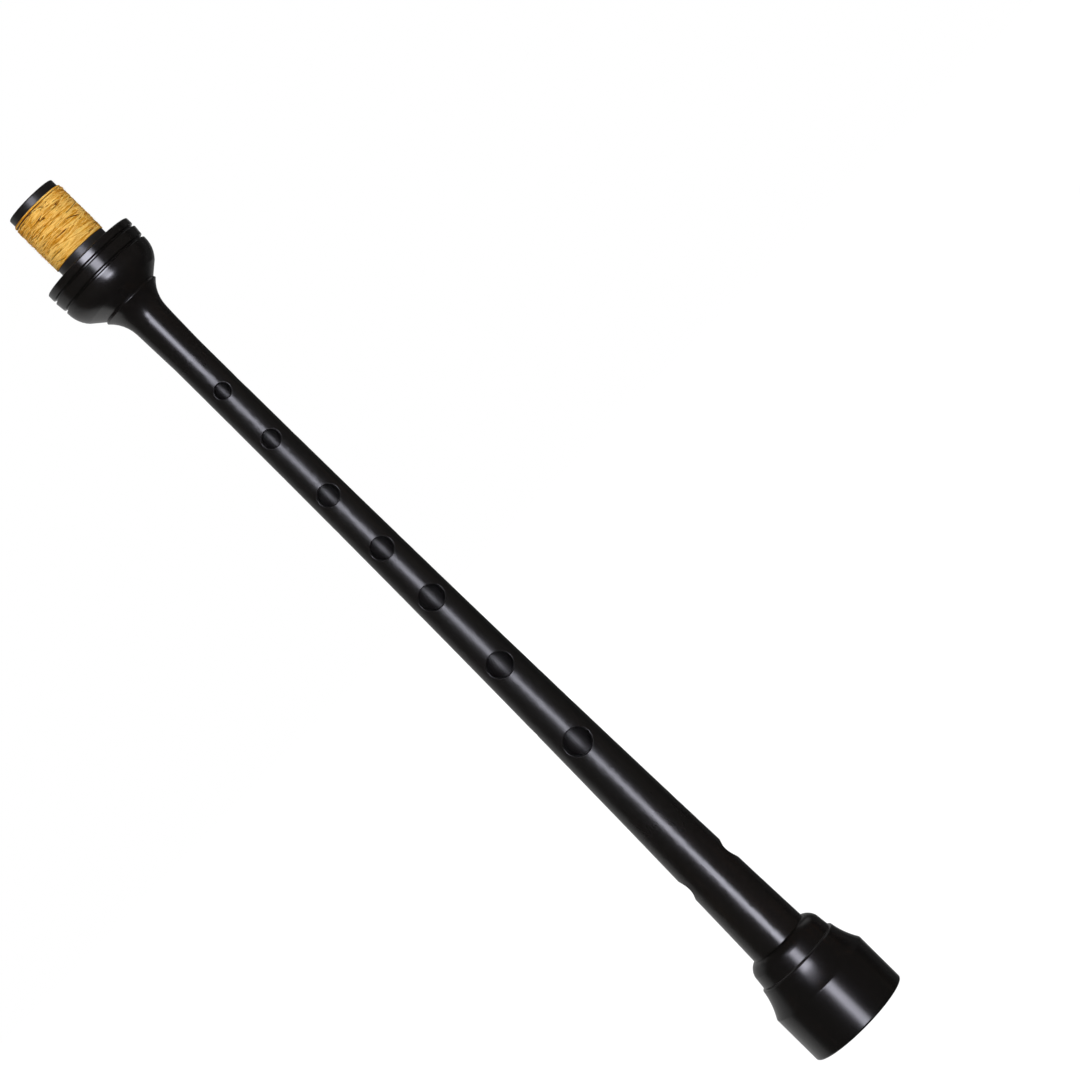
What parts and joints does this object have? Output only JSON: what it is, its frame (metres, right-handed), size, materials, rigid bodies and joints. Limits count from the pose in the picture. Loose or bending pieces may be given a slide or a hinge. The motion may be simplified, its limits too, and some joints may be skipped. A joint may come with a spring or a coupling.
{
  "type": "bagpipe chanter",
  "caption": "Slim conical melody pipe with finger holes, a grooved bulb and hemped tenon at the top, and a removable wide sole at the foot.",
  "frame": {"origin": "middle of the sole's underside, on the axis of the bore", "axes": "+Z along the bore from the sole to the tenon, finger holes face -Y, thumb hole faces +Y, sound holes face -X and +X"},
  "size_m": [0.0376, 0.0376, 0.37],
  "materials": {
    "blackwood": "oiled and polished, satin gloss",
    "sole_blackwood": "oiled and polished, satin gloss",
    "waxed_hemp": "dark waxed hemp",
    "hemp_thread": "golden hemp thread, slightly waxed"
  },
  "bodies": {
    "sole": {"sole": "sole_blackwood"},
    "chanter": {"chanter_body": "blackwood", "foot_tenon_hemp": "waxed_hemp", "tenon_base_hemp": "waxed_hemp", "tenon_hemp_winding": "hemp_thread"}
  },
  "joints": [
    {"name": "sole_slide", "type": "slide", "parent": "sole", "child": "chanter", "axis": [0, 0, 1], "range_m": [0, 0.028]}
  ]
}
